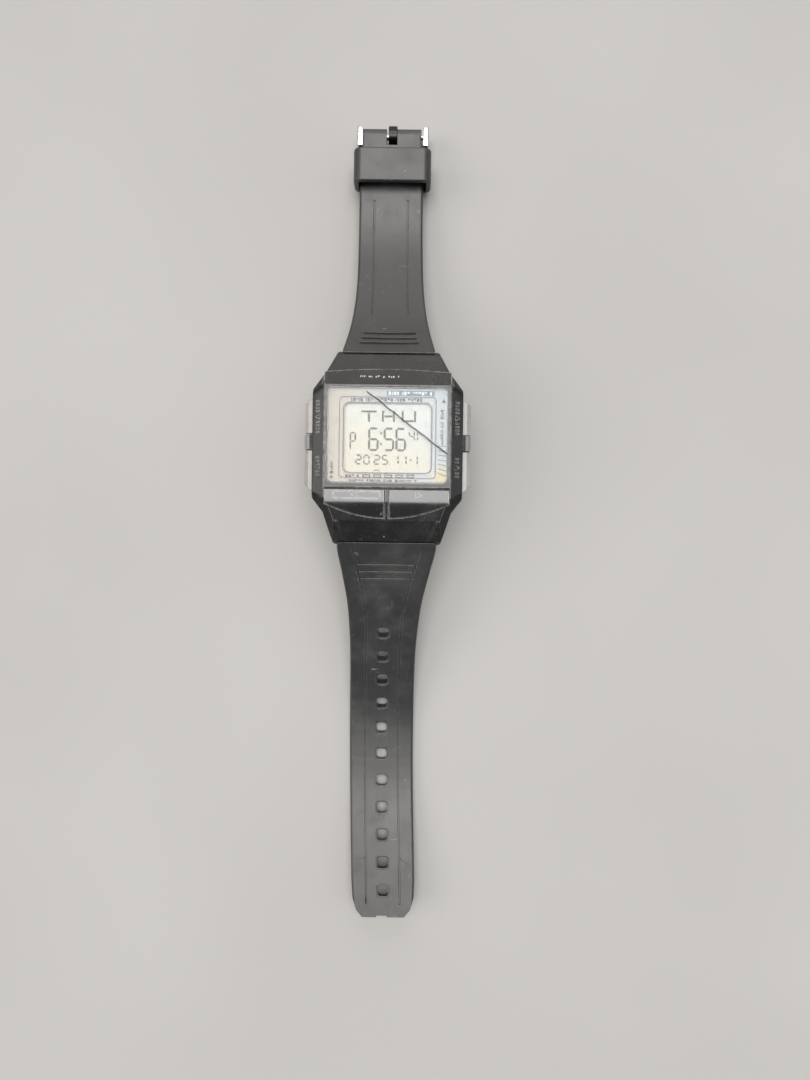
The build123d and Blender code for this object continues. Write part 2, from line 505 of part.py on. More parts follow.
class Strap:
    """A strap's top line in the YZ plane, from its start at the hood outward."""

    def __init__(self, sign, slopes, thick, wide, length):
        self.sign, self.slopes, self.thick, self.wide, self.length = sign, slopes, thick, wide, length
        self.line, y, z, step = [(START_Y, START_Z)], START_Y, START_Z, 0.25
        for i in range(int((length + 3) / step)):
            a = math.radians(at(slopes, (i + 0.5) * step))
            y, z = y + step * math.cos(a), z - step * math.sin(a)
            self.line.append((y, z))
        self.step = step

    def point(self, s, drop=0.0):
        """Point at distance s along the top line, lowered square to it."""
        i = min(int(s / self.step), len(self.line) - 2)
        f = s / self.step - i
        (y0, z0), (y1, z1) = self.line[i], self.line[i + 1]
        a = math.radians(at(self.slopes, s))
        y, z = y0 + (y1 - y0) * f, z0 + (z1 - z0) * f
        return self.sign * (y - drop * math.sin(a)), z - drop * math.cos(a)

    def where(self, y):
        """Distance along the top line at which it passes a given |Y|."""
        for i, (y0, _) in enumerate(self.line[:-1]):
            if self.line[i + 1][0] >= y:
                return (i + (y - y0) / (self.line[i + 1][0] - y0)) * self.step
        return self.length

    def band(self, s0, s1, up, down, half, end_r=0.0):
        """Slab that follows the top face between two depths, across the strap; end_r hollows its start."""
        count = max(2, round((s1 - s0) / 6))
        marks = [s0 + (s1 - s0) * i / count for i in range(count + 1)]
        top = [self.point(s, -up) for s in marks]
        low = [self.point(s, down(s) if callable(down) else down) for s in marks]
        face = make_face([Spline(*top), Line(top[-1], low[-1]), Spline(*low[::-1]), Line(low[0], top[0])])
        if end_r:
            face -= Pos(self.sign * AXIS_Y, AXIS_Z) * Circle(end_r)
        return Pos(-half, 0, 0) * extrude(Plane.YZ * face, 2 * half)

    def plan(self, ends, z0=-20, z1=12):
        """Plan outline as an upright prism; ends are points added past the last width."""
        side = [(w, self.point(s)[0]) for s, w in self.wide]
        tip = [(w, self.point(s)[0]) for s, w in ends]
        right = [Spline(*side)] + [Line(a, b) for a, b in zip([side[-1]] + tip, tip)]
        last = (tip or side)[-1]
        left = [edge.mirror(Plane.YZ) for edge in right]
        close = [Line(last, (-last[0], last[1])), Line(side[0], (-side[0][0], side[0][1]))]
        return Pos(0, 0, z0) * extrude(make_face(right + left + close), z1 - z0)

    def root(self):
        """Knuckle round the spring bar and the neck that joins it to the strap."""
        y, sign = AXIS_Y, self.sign
        neck = side_prism([(sign * y, AXIS_Z + KNUCKLE_R), (sign * (y + 2.6), 5.45), (sign * 22.2, 5.2),
                           (sign * 23.2, 2.6), (sign * (y + 1), AXIS_Z - KNUCKLE_R + 0.2),
                           (sign * y, AXIS_Z - KNUCKLE_R)], -ROOT_X, ROOT_X)
        return neck + rod_x(-ROOT_X, ROOT_X, sign * y, AXIS_Z, KNUCKLE_R)

    def body(self, s_end, ends):
        """Strap before its surface details."""
        slab = self.band(0, s_end, 0, lambda s: at(self.thick, s), 13, SHOULDER_R)
        solid = slab & self.plan(ends)
        solid = fillet([e for e in solid.edges() if e.length > 40], EDGE_R)
        solid += self.root()
        return solid - rod_x(-13, 13, self.sign * AXIS_Y, AXIS_Z, BORE_R)

    def lines(self, path, depth=GROOVE_DEEP):
        """Two mirrored grooves along a path of (distance, X) pairs."""
        grooves = None
        skin = self.band(path[0][0], path[-1][0], 0.5, depth, 13)
        for side in (1, -1):
            inner = [(side * (x - GROOVE_WIDE / 2), self.point(s)[0]) for s, x in path]
            outer = [(side * (x + GROOVE_WIDE / 2), self.point(s)[0]) for s, x in path]
            groove = prism(inner + outer[::-1], -20, 12) & skin
            grooves = groove if grooves is None else grooves + groove
        return grooves

    def rib(self, y, half):
        """Low bar across the strap, slightly bowed, its top following the surface."""
        s, sign = self.where(y), self.sign
        skin = self.band(s - 2.5, s + 2.5, RIB_HIGH, 0.5, 13)
        bow, w = RIB_BOW, RIB_WIDE / 2
        edges = [ThreePointArc((-half, sign * (y - w)), (0, sign * (y - w - bow)), (half, sign * (y - w))),
                 Line((half, sign * (y - w)), (half, sign * (y + w))),
                 ThreePointArc((half, sign * (y + w)), (0, sign * (y + w - bow)), (-half, sign * (y + w))),
                 Line((-half, sign * (y + w)), (-half, sign * (y - w)))]
        return (Pos(0, 0, -20) * extrude(make_face(edges), 32)) & skin


def strap_hole(strap, s):
    """Square hole with rounded corners and a shallow wider rim, square to the top face."""
    y, z = strap.point(s)
    slope = -strap.sign * at(strap.slopes, s)
    hole = extrude(RectangleRounded(HOLE_SIDE, HOLE_SIDE, HOLE_R), 4, both=True)
    rim = Pos(0, 0, -RIM_DEEP) * extrude(RectangleRounded(RIM_SIDE, RIM_SIDE, HOLE_R + 0.3), 2)
    return Pos(0, y, z) * Rot(slope, 0, 0) * (hole + rim)


def long_strap():
    strap = Strap(-1, LONG_SLOPE, LONG_THICK, LONG_WIDE, LONG_LENGTH)
    solid = strap.body(LONG_LENGTH, LONG_END)
    for y, half in LONG_RIBS:
        solid += strap.rib(y, half)
    solid -= strap.lines([(1.5, 7.9), (9.3, 5.9), (17.5, 4.5), (22, GROOVE_X), (LONG_LENGTH - 3, GROOVE_X)])
    for i in range(HOLE_COUNT):
        solid -= strap_hole(strap, HOLE_FIRST + i * HOLE_PITCH)
    tip_y, tip_z = strap.point(LONG_LENGTH)
    return solid - block(-1.6, 0.9, tip_y - 1, tip_y + 0.35, tip_z - 5, tip_z + 2)


def short_strap():
    strap = Strap(1, SHORT_SLOPE, SHORT_THICK, SHORT_WIDE, SHORT_LENGTH)
    solid = strap.body(strap.where(BUCKLE_Y), [(strap.where(BUCKLE_Y), 7.35)])
    for y, half in SHORT_RIBS:
        solid += strap.rib(y, half)
    solid -= strap.lines([(13, GROOVE_X + 0.15), (20, GROOVE_X), (44, GROOVE_X)])
    solid += rod_x(-CURL_X, CURL_X, BUCKLE_Y, BUCKLE_Z, CURL_R)
    solid -= rod_x(-13, 13, BUCKLE_Y, BUCKLE_Z, BORE_R)
    solid -= block(-SLOT_X, SLOT_X, SLOT_Y, 90, -20, 0)
    for side in (1, -1):
        x0, x1 = sorted((side * CURL_X, side * 12))
        solid -= block(x0, x1, CURL_Y, 90, -20, 0)
    return solid


def spring_bar(y, z, half, tip):
    """Sprung bar: tube, two collars and two thin tips."""
    bar = rod_x(-half, half, y, z, PIN_R)
    for side in (1, -1):
        bar += rod_x(side * (half - 0.1), side * (half + 0.15), y, z, 0.55)
        bar += rod_x(side * half, side * tip, y, z, PIN_TIP_R)
    return bar


# ---------------------------------------------------------------- buckle and keeper

def keeper_loop():
    """Loop round the short strap with room for the long strap's tail above it."""
    height, width = KEEPER_HIGH - KEEPER_LOW, 2 * KEEPER_X
    outer = Plane.XZ * Pos(0, KEEPER_LOW + height / 2) * RectangleRounded(width, height, 2.0)
    inner_h = height - KEEPER_WALL - 1.1
    inner = Plane.XZ * Pos(0, KEEPER_LOW + 1.1 + inner_h / 2) * RectangleRounded(
        width - 2 * KEEPER_WALL, inner_h, 0.5)
    length = KEEPER_Y1 - KEEPER_Y0
    loop = Pos(0, KEEPER_Y1, 0) * (extrude(outer, length) - extrude(inner, length))
    ends = [e for e in loop.edges() if e.length > 3 and abs(e.center().X) < 1 and e.center().Z > KEEPER_HIGH - 0.1]
    return fillet(ends, 0.45)


def buckle_frame():
    """Two arms with flat-topped eyes and a cross bar, folded under the strap's end."""
    frame = None
    side_view = [(BUCKLE_Y + 2.1, BUCKLE_Z - 0.6), (BUCKLE_Y + 1.0, ARM_TOP - 1.2), (BUCKLE_Y - 1.2, BUCKLE_LOW),
                 (BAR_Y0 + 0.5, BUCKLE_LOW), (BAR_Y0, BUCKLE_LOW + 0.5), (BAR_Y0, ARM_TOP), (BUCKLE_Y - 3.2, ARM_TOP),
                 (BUCKLE_Y - 3.1, EYE_TOP - 0.6), (BUCKLE_Y - 2.9, EYE_TOP - 0.15), (BUCKLE_Y - 2.5, EYE_TOP),
                 (BUCKLE_Y + 1.4, EYE_TOP), (BUCKLE_Y + 1.9, EYE_TOP - 0.25), (BUCKLE_Y + 2.1, EYE_TOP - 0.8)]
    for side in (1, -1):
        x0, x1 = sorted((side * ARM_IN, side * ARM_OUT))
        arm = side_prism(side_view, x0, x1)
        arm = fillet([e for e in arm.edges() if abs(abs(e.center().X) - ARM_OUT) < 0.01], 0.3)
        arm -= rod_x(side * (ARM_IN - 1), side * (ARM_OUT - 0.4), BUCKLE_Y, BUCKLE_Z, PIN_TIP_R + 0.04)
        frame = arm if frame is None else frame + arm
    bar = side_prism([(BAR_Y0 + 0.5, BUCKLE_LOW), (BAR_Y0, BUCKLE_LOW + 0.5), (BAR_Y0, ARM_TOP - 0.2),
                      (BAR_Y0 + 0.2, ARM_TOP), (BAR_Y1 - 0.2, ARM_TOP), (BAR_Y1, ARM_TOP - 0.2),
                      (BAR_Y1, BUCKLE_LOW + 0.3), (BAR_Y1 - 0.3, BUCKLE_LOW)], -ARM_IN - 0.1, ARM_IN + 0.1)
    notch = block(-TONGUE_X - 0.2, TONGUE_X + 0.2, BAR_Y0 - 1, BAR_Y1 + 1, BUCKLE_LOW - 1, BUCKLE_LOW + 0.62)
    return frame + bar - notch


def buckle_tongue():
    """Bent tongue: a loose curl round the spring bar and a blade that rests in the bar's notch."""
    curl = rod_x(-TONGUE_X, TONGUE_X, BUCKLE_Y, BUCKLE_Z, 1.95) + rod_x(
        -TONGUE_X, TONGUE_X, BUCKLE_Y + 0.6, BUCKLE_Z, 1.95)
    blade = side_prism([(BUCKLE_Y + 1.6, BUCKLE_Z - 1.7), (BUCKLE_Y - 0.4, -12.9), (BUCKLE_Y - 2.2, BUCKLE_LOW + 0.05),
                        (BAR_Y0 + 0.35, BUCKLE_LOW + 0.05), (BAR_Y0 + 0.1, BUCKLE_LOW + 0.3),
                        (BAR_Y0 + 0.35, BUCKLE_LOW + 0.57), (BAR_Y1 + 1.5, BUCKLE_LOW + 0.57),
                        (BUCKLE_Y - 2.6, -12.2), (BUCKLE_Y - 1.7, BUCKLE_Z - 0.6)], -TONGUE_X, TONGUE_X)
    tongue = curl + blade
    tongue -= rod_x(-2, 2, BUCKLE_Y, BUCKLE_Z, BORE_R + 0.02)
    return tongue


# ---------------------------------------------------------------- every node

def nodes():
    """Every node's name and shape."""
    out = {
        "case_body": case_body(), "case_back": case_back(), "case_back_screws": case_back_screws(),
        "case_back_gasket": gasket_ring(BACK_THICK, BACK_THICK + GASKET_HEIGHT - 0.01),
        "front_frame": front_frame(), "crystal": crystal(), "crystal_gasket": crystal_gasket(),
        "face_mask": face_mask(), "lcd_panel": lcd_panel(), "light_panel": light_panel(),
        "contact_strip_upper": strip(STRIPS_Y[1]), "contact_strip_lower": strip(STRIPS_Y[0]),
        "module_frame": module_frame(), "circuit_board": circuit_board(), "chip_cover": chip_cover(),
        "quartz_can": quartz_can(), "cell_holder": cell_holder(), "coin_cell": coin_cell(),
        "cell_contact": cell_contact(), "battery_clip": battery_clip(), "buzzer_disc": buzzer_disc(),
        "buzzer_spring": buzzer_spring(), "long_strap": long_strap(), "short_strap": short_strap(),
        "spring_bar_upper": spring_bar(AXIS_Y, AXIS_Z, 8.9, 10.2),
        "spring_bar_lower": spring_bar(-AXIS_Y, AXIS_Z, 8.9, 10.2),
        "spring_bar_buckle": spring_bar(BUCKLE_Y, BUCKLE_Z, ARM_IN - 0.25, ARM_OUT - 0.6),
        "keeper_loop": keeper_loop(), "buckle_frame": buckle_frame(), "buckle_tongue": buckle_tongue(),
    }
    for side, hand in ((1, "right"), (-1, "left")):
        out[f"front_button_{hand}"] = front_button(side) - button_mark(side)
        out[f"front_button_{hand}_spring"] = button_spring(side)
        out[f"front_button_{hand}_clip"] = button_clip(side)
        out[f"front_button_{hand}_seal"] = button_seal(side)
        for level, (low, high, stem_y) in PUSHERS.items():
            name = f"pusher_{level}_{hand}"
            out[name] = pusher(side, low, high, stem_y)
            out[f"{name}_spring"] = pusher_spring(side, stem_y)
            out[f"{name}_clip"] = pusher_clip(side, stem_y)
            out[f"{name}_seal"] = pusher_seal(side, stem_y)
    return out


for node_name, node_shape in nodes().items():
    export_step(node_shape, f"parts/{node_name}.step")
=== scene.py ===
import math
import random

import bmesh
import bpy
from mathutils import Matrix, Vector
from mathutils.bvhtree import BVHTree


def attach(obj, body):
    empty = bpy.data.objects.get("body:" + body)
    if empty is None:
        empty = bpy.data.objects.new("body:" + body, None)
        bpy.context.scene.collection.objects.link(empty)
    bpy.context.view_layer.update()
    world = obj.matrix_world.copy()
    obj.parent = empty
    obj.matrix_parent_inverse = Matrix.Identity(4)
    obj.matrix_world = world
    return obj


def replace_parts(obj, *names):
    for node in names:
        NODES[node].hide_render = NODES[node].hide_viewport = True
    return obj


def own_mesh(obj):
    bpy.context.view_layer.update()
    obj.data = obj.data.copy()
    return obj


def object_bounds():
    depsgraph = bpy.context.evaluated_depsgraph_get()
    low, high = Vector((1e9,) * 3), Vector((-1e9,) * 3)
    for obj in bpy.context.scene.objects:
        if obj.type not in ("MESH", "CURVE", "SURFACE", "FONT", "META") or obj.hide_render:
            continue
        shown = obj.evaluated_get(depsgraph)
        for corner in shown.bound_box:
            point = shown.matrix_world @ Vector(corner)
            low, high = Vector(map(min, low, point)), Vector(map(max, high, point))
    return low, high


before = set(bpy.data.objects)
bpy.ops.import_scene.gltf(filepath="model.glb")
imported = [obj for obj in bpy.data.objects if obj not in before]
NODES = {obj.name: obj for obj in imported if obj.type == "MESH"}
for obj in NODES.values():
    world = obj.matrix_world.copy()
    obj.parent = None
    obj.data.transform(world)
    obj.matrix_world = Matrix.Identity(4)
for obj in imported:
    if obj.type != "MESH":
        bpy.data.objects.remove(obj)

CAD_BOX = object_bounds()
MM = 0.001
WELD = 1e-6  # in metres: corners closer than this are one corner
FLAT = math.radians(0.4)  # faces that turn less than this lie in one plane
CREASE = math.radians(28)  # faces that turn more than this meet in an edge
STRAP_STEP = 2  # mm between the cuts that let a strap curve sideways
LCD_TOP, FOIL_TOP = 8.605, 9.055  # heights in mm just above the display and the face foil


# ---------------------------------------------------------------- shader building

class Graph:
    """A procedural material under construction. Lengths in its textures are millimetres."""

    def __init__(self, name):
        self.material = bpy.data.materials.new(name)
        self.material.use_nodes = True
        self.tree = self.material.node_tree
        self.tree.nodes.clear()
        self.out = self.make("ShaderNodeOutputMaterial")
        self.coords = self.make("ShaderNodeTexCoord")
        self.mm = self.vector("SCALE", self.coords.outputs["Object"], Scale=1 / MM)

    def make(self, kind, inputs=None, **settings):
        node = self.tree.nodes.new(kind)
        for key, value in settings.items():
            setattr(node, key, value)
        for key, value in (inputs or {}).items():
            self.feed(node.inputs[key], value)
        return node

    def feed(self, socket, value):
        if isinstance(value, bpy.types.NodeSocket):
            self.tree.links.new(value, socket)
        elif isinstance(value, tuple) and len(value) == 3 and socket.type == "RGBA":
            socket.default_value = (*value, 1)
        else:
            socket.default_value = value

    def vector(self, operation, first, second=None, **named):
        inputs = {0: first, **named}
        if second is not None:
            inputs[1] = second
        return self.make("ShaderNodeVectorMath", inputs, operation=operation).outputs[0]

    def math(self, operation, first, second=0.0, clamp=False):
        node = self.make("ShaderNodeMath", {0: first, 1: second}, operation=operation,
                         use_clamp=clamp)
        return node.outputs[0]

    def fit(self, value, low, high, to_low=0.0, to_high=1.0):
        """Value from low..high to to_low..to_high, with a soft start and end."""
        node = self.make("ShaderNodeMapRange",
                         {0: value, 1: low, 2: high, 3: to_low, 4: to_high})
        node.interpolation_type = "SMOOTHSTEP"
        return node.outputs[0]

    def times(self, *values):
        total = values[0]
        for value in values[1:]:
            total = self.math("MULTIPLY", total, value)
        return total

    def most(self, *values):
        total = values[0]
        for value in values[1:]:
            total = self.math("MAXIMUM", total, value)
        return total

    def mix(self, factor, first, second):
        node = self.make("ShaderNodeMix", data_type="RGBA", clamp_factor=True)
        for index, value in ((0, factor), (6, first), (7, second)):
            self.feed(node.inputs[index], value)
        return node.outputs[2]

    def axes(self, vector):
        """The X, Y and Z of a vector."""
        return list(self.make("ShaderNodeSeparateXYZ", {0: vector}).outputs)

    def place(self, scale, turn=0.0, offset=(0, 0, 0)):
        """Texture space turned about Z by some degrees, then scaled per axis in cells per mm."""
        node = self.make("ShaderNodeMapping",
                         {"Vector": self.mm, "Rotation": (0, 0, math.radians(turn)),
                          "Location": offset}, vector_type="POINT")
        return self.vector("MULTIPLY", node.outputs[0], scale)

    def noise(self, scale, detail=2.0, rough=0.5, turn=0.0, offset=(0, 0, 0), warp=0.0):
        scale = scale if isinstance(scale, tuple) else (scale,) * 3
        node = self.make("ShaderNodeTexNoise",
                         {"Vector": self.place(scale, turn, offset), "Scale": 1.0,
                          "Detail": detail, "Roughness": rough, "Distortion": warp})
        return node.outputs["Fac"]

    def hairs(self, scale, turn, offset, width, share):
        """Thin curved scratches: narrow contour bands of a stretched noise, broken by another."""
        line = self.noise(scale, 1.0, 0.4, turn, offset, 0.4)
        line = self.math("ABSOLUTE", self.math("SUBTRACT", line, 0.5))
        thin = self.fit(line, width, width * 0.2)
        some = self.noise(0.21, 2.0, 0.5, turn, (offset[1] + 9, offset[0], 3))
        return self.times(thin, self.fit(some, 1 - share, 1 - share + 0.06))

    def specks(self, scale, share, radius, offset=(0, 0, 0)):
        """Scattered specks up to a radius in mm, in the given share of the cells."""
        warp = self.make("ShaderNodeTexNoise", {"Vector": self.mm, "Scale": 5.0}).outputs[1]
        warp = self.vector("SCALE", warp, Scale=0.16)
        spot = self.vector("ADD", self.place((scale,) * 3, 31, offset), warp)
        cells = self.make("ShaderNodeTexVoronoi", {"Vector": spot, "Scale": 1.0})
        size = self.make("ShaderNodeSeparateColor", {0: cells.outputs["Color"]}).outputs[0]
        reach = self.fit(size, 1 - share, 1, 0.0, radius * scale)
        inside = self.math("SUBTRACT", reach, cells.outputs["Distance"])
        return self.fit(inside, 0.0, 0.3 * radius * scale)

    def upward(self):
        """1 on faces that look up in the object's own space, 0 on its sides and below."""
        return self.fit(self.axes(self.coords.outputs["Normal"])[2], 0.15, 0.9)

    def edges(self, radius):
        """1 along sharp edges, found from how a rounded edge would turn the surface."""
        bevel = self.make("ShaderNodeBevel", {"Radius": radius * MM}, samples=4)
        plain = self.make("ShaderNodeNewGeometry").outputs["Normal"]
        turn = self.make("ShaderNodeVectorMath", {0: bevel.outputs[0], 1: plain},
                         operation="DOT_PRODUCT")
        return self.fit(turn.outputs["Value"], 0.995, 0.93)

    def bump(self, height, depth):
        """A surface's small relief, with its depth in mm."""
        node = self.make("ShaderNodeBump",
                         {"Height": height, "Distance": depth * MM, "Strength": 1.0})
        return node.outputs[0]

    def surface(self, shader):
        self.tree.links.new(shader, self.out.inputs[0])
        return self.material

    def principled(self, **sockets):
        names = {key.replace("_", " "): value for key, value in sockets.items()}
        return self.surface(self.make("ShaderNodeBsdfPrincipled", names).outputs[0])


def grey(value, warm=1.0):
    return (value * warm, value, value / warm)


def tint(colour, factor):
    """A colour made darker or lighter."""
    return tuple(min(1, c * factor) for c in colour)


# ---------------------------------------------------------------- materials

def resin(name, colour, rough, dust, hair, wear, edge, pale, grain=0.012, shine=0.5,
          calm=(-99.0, -98.0), pale_from=99.0, edge_tone=None):
    """Moulded dark resin: clouded colour, fine grain, dust, scuffs and hairlines, painted edges.

    Edge paint is partly wear and partly a painted highlight; with a dark edge_tone it is
    painted shade, a dark outline. It is left off below the first Y of calm and full above the
    second, and where |X| is past the |X| argument the surface is made paler. The usual values
    of both lie past every piece but the tip of the long strap.
    """
    g = Graph(name)
    cloud = g.noise(0.07, 4.0, 0.6)
    fine = g.noise(7.0, 3.0, 0.6)
    up = g.upward()
    patch = g.fit(g.noise(0.13, 5.0, 0.65, offset=(4, 8, 1)), 0.45, 0.72)
    film = g.times(patch, up, dust)
    streak = g.fit(g.noise((2.6, 0.35, 1.5), 3.0, 0.7, 8, (6, 0, 2)), 0.56, 0.74)
    handling = g.fit(g.noise(0.17, 3.0, 0.5, offset=(9, 3, 4)), 0.5, 0.66)
    scuff = g.times(streak, handling, up, hair)
    small = g.times(g.specks(2.2, 0.5 * dust, 0.08), g.fit(patch, 0.1, 0.9, 0.25, 1.0))
    speck = g.times(g.most(small, g.specks(0.33, 0.2 * dust, 0.17, (5, 2, 7))), up)
    scratch = g.most(g.hairs((0.35, 0.09, 0.2), 24, (3, 1, 0), 0.014, 0.44 * hair),
                     g.hairs((0.05, 0.42, 0.2), 12, (7, 5, 0), 0.012, 0.42 * hair),
                     g.hairs((0.3, 0.06, 0.2), 70, (1, 9, 0), 0.01, 0.4 * hair))
    uneven = g.fit(g.noise(0.6, 4.0, 0.65, offset=(2, 2, 6)), 0.3, 0.6, 0.15, 1.0)
    x, y, _ = g.axes(g.mm)
    # edges painted: partly wear, partly a painted highlight, and painted shade with a dark
    # edge_tone
    edge_wear_and_painted_light = g.times(g.edges(edge), uneven, wear, g.fit(y, *calm, 0.2, 1.0))
    # the surface is made paler past the given |X|, broken up by the fine grain
    paler_sides = g.fit(g.math("ABSOLUTE", x), pale_from, pale_from + 0.5)
    paler_sides = g.times(paler_sides, g.fit(fine, 0.2, 0.7, 0.35, 1.0))

    body = g.mix(g.fit(cloud, 0.3, 0.7), tint(colour, 0.78), tint(colour, 1.25))
    body = g.mix(g.times(fine, 0.35), body, tint(colour, 1.7))
    body = g.mix(g.times(film, 0.16), body, grey(pale * 0.6, 1.03))
    body = g.mix(g.times(scuff, 0.35), body, grey(pale, 1.02))
    body = g.mix(g.times(scratch, 0.5), body, grey(pale * 1.1, 1.02))
    body = g.mix(g.times(paler_sides, 0.8), body, grey(pale, 1.02))
    # the edge colour: a painted highlight that partly stands for wear; a dark edge_tone paints
    # shade
    body = g.mix(edge_wear_and_painted_light, body, grey(pale if edge_tone is None else edge_tone, 1.02))
    body = g.mix(g.times(speck, 0.85), body, grey(pale * 1.7, 1.02))
    clouds = g.math("ADD", g.times(cloud, 0.5), g.times(fine, 0.5))
    gloss = g.fit(clouds, 0.3, 0.7, rough - 0.06, rough + 0.07)
    gloss = g.math("ADD", gloss, g.times(g.most(speck, film, scuff), 0.16))
    height = g.math("ADD", g.times(fine, 0.55), speck)
    height = g.math("SUBTRACT", height, g.times(scratch, 0.8))
    return g.principled(Base_Color=body, Roughness=gloss, Normal=g.bump(height, grain),
                        Specular_IOR_Level=shine)


def metal(name, colour, rough, brush=(0.4, 9, 9), wear=0.5, dirt=0.3):
    """Bare or plated metal with brushing along one way, fine scratches and dull spots."""
    g = Graph(name)
    grain = g.noise(brush, 3.0, 0.6)
    spots = g.fit(g.noise(0.9, 4.0, 0.6), 0.5, 0.75)
    scratch = g.most(g.hairs((0.9, 0.12, 0.4), 30, (2, 5, 1), 0.012, 0.5 * wear),
                     g.hairs((0.15, 0.8, 0.4), 14, (8, 3, 1), 0.01, 0.5 * wear))
    base = g.mix(g.fit(grain, 0.3, 0.7), tint(colour, 0.86), tint(colour, 1.08))
    base = g.mix(g.times(spots, dirt), base, tint(colour, 0.45))
    base = g.mix(g.times(scratch, 0.5), base, tint(colour, 1.35))
    gloss = g.fit(grain, 0.25, 0.75, rough - 0.05, rough + 0.08)
    gloss = g.math("ADD", gloss, g.times(spots, 0.15))
    height = g.math("SUBTRACT", g.times(grain, 0.5), scratch)
    return g.principled(Base_Color=base, Roughness=gloss, Metallic=1.0,
                        Normal=g.bump(height, 0.004))


def moulded(name, colour, rough, contrast=0.25):
    """Plain moulded or rubber material of the hidden parts, with clouding and fine grain."""
    g = Graph(name)
    cloud = g.noise(1.2, 4.0, 0.6)
    fine = g.noise(10.8, 2.0, 0.6)
    base = g.mix(g.fit(cloud, 0.3, 0.7), tint(colour, 1 - contrast), tint(colour, 1 + contrast))
    gloss = g.fit(fine, 0.3, 0.7, rough - 0.06, rough + 0.08)
    return g.principled(Base_Color=base, Roughness=gloss, Normal=g.bump(fine, 0.006))


def board_material():
    """Green circuit board with yellower copper tracks under the lacquer."""
    g = Graph("board")
    cells = g.make("ShaderNodeTexVoronoi", {"Vector": g.place((0.7, 0.7, 0.7)), "Scale": 1.0},
                   feature="DISTANCE_TO_EDGE")
    track = g.fit(cells.outputs["Distance"], 0.09, 0.05)
    fine = g.noise(8.0)
    base = g.mix(g.times(track, 0.7), (0.012, 0.10, 0.045), (0.09, 0.17, 0.05))
    base = g.mix(g.times(fine, 0.2), base, (0.03, 0.16, 0.08))
    return g.principled(Base_Color=base, Roughness=g.fit(fine, 0.3, 0.7, 0.3, 0.42),
                        Normal=g.bump(g.math("ADD", track, fine), 0.01))


def silver_foil_with_painted_glare():
    """Brushed silver face foil, painted with reflections: warm left, bluish right, a golden
    highlight at one corner.
    """
    g = Graph("mask_print")
    grain = g.noise((0.5, 14, 4), 3.0, 0.6)
    x, y, _ = g.axes(g.mm)
    # painted reflection: the foil turns from warm on the left to bluish towards the upper right
    side = g.fit(g.math("ADD", x, g.times(y, 0.45)), -9.0, 11.0)
    tone = g.mix(side, (0.47, 0.385, 0.32), (0.43, 0.46, 0.51))
    # painted golden highlight at the lower right corner
    gold_highlight = g.times(g.fit(x, 8.0, 12.5), g.fit(y, -2.5, -7.0))
    tone = g.mix(g.times(gold_highlight, 0.8), tone, (0.66, 0.50, 0.20))
    tone = g.mix(g.times(grain, 0.25), tone, (0.6, 0.58, 0.56))
    return g.principled(Base_Color=tone, Roughness=g.fit(grain, 0.3, 0.7, 0.45, 0.6),
                        Metallic=0.12, Normal=g.bump(grain, 0.003))


def display_with_painted_glare():
    """Liquid crystal panel: a pale base with fine grain and a painted reflection, warm below and
    cooler above.
    """
    g = Graph("lcd_glass")
    x, y, _ = g.axes(g.mm)
    fine = g.noise(11.0, 2.0, 0.6)
    broad = g.noise(0.09, 3.0, 0.5, offset=(3, 3, 3))
    # painted reflection: a glare that is cooler and whiter towards the upper right, warm below
    slope = g.math("ADD", g.times(x, 0.55), g.times(y, 1.1))
    diagonal = g.math("SUBTRACT", g.times(broad, 6), slope)
    painted_glare = g.fit(diagonal, 9.0, -9.0)
    tone = g.mix(painted_glare, (0.60, 0.52, 0.41), (0.57, 0.57, 0.56))
    tone = g.mix(g.times(fine, 0.25), tone, (0.66, 0.64, 0.60))
    return g.principled(Base_Color=tone, Roughness=g.fit(fine, 0.3, 0.7, 0.32, 0.42),
                        Normal=g.bump(fine, 0.002))


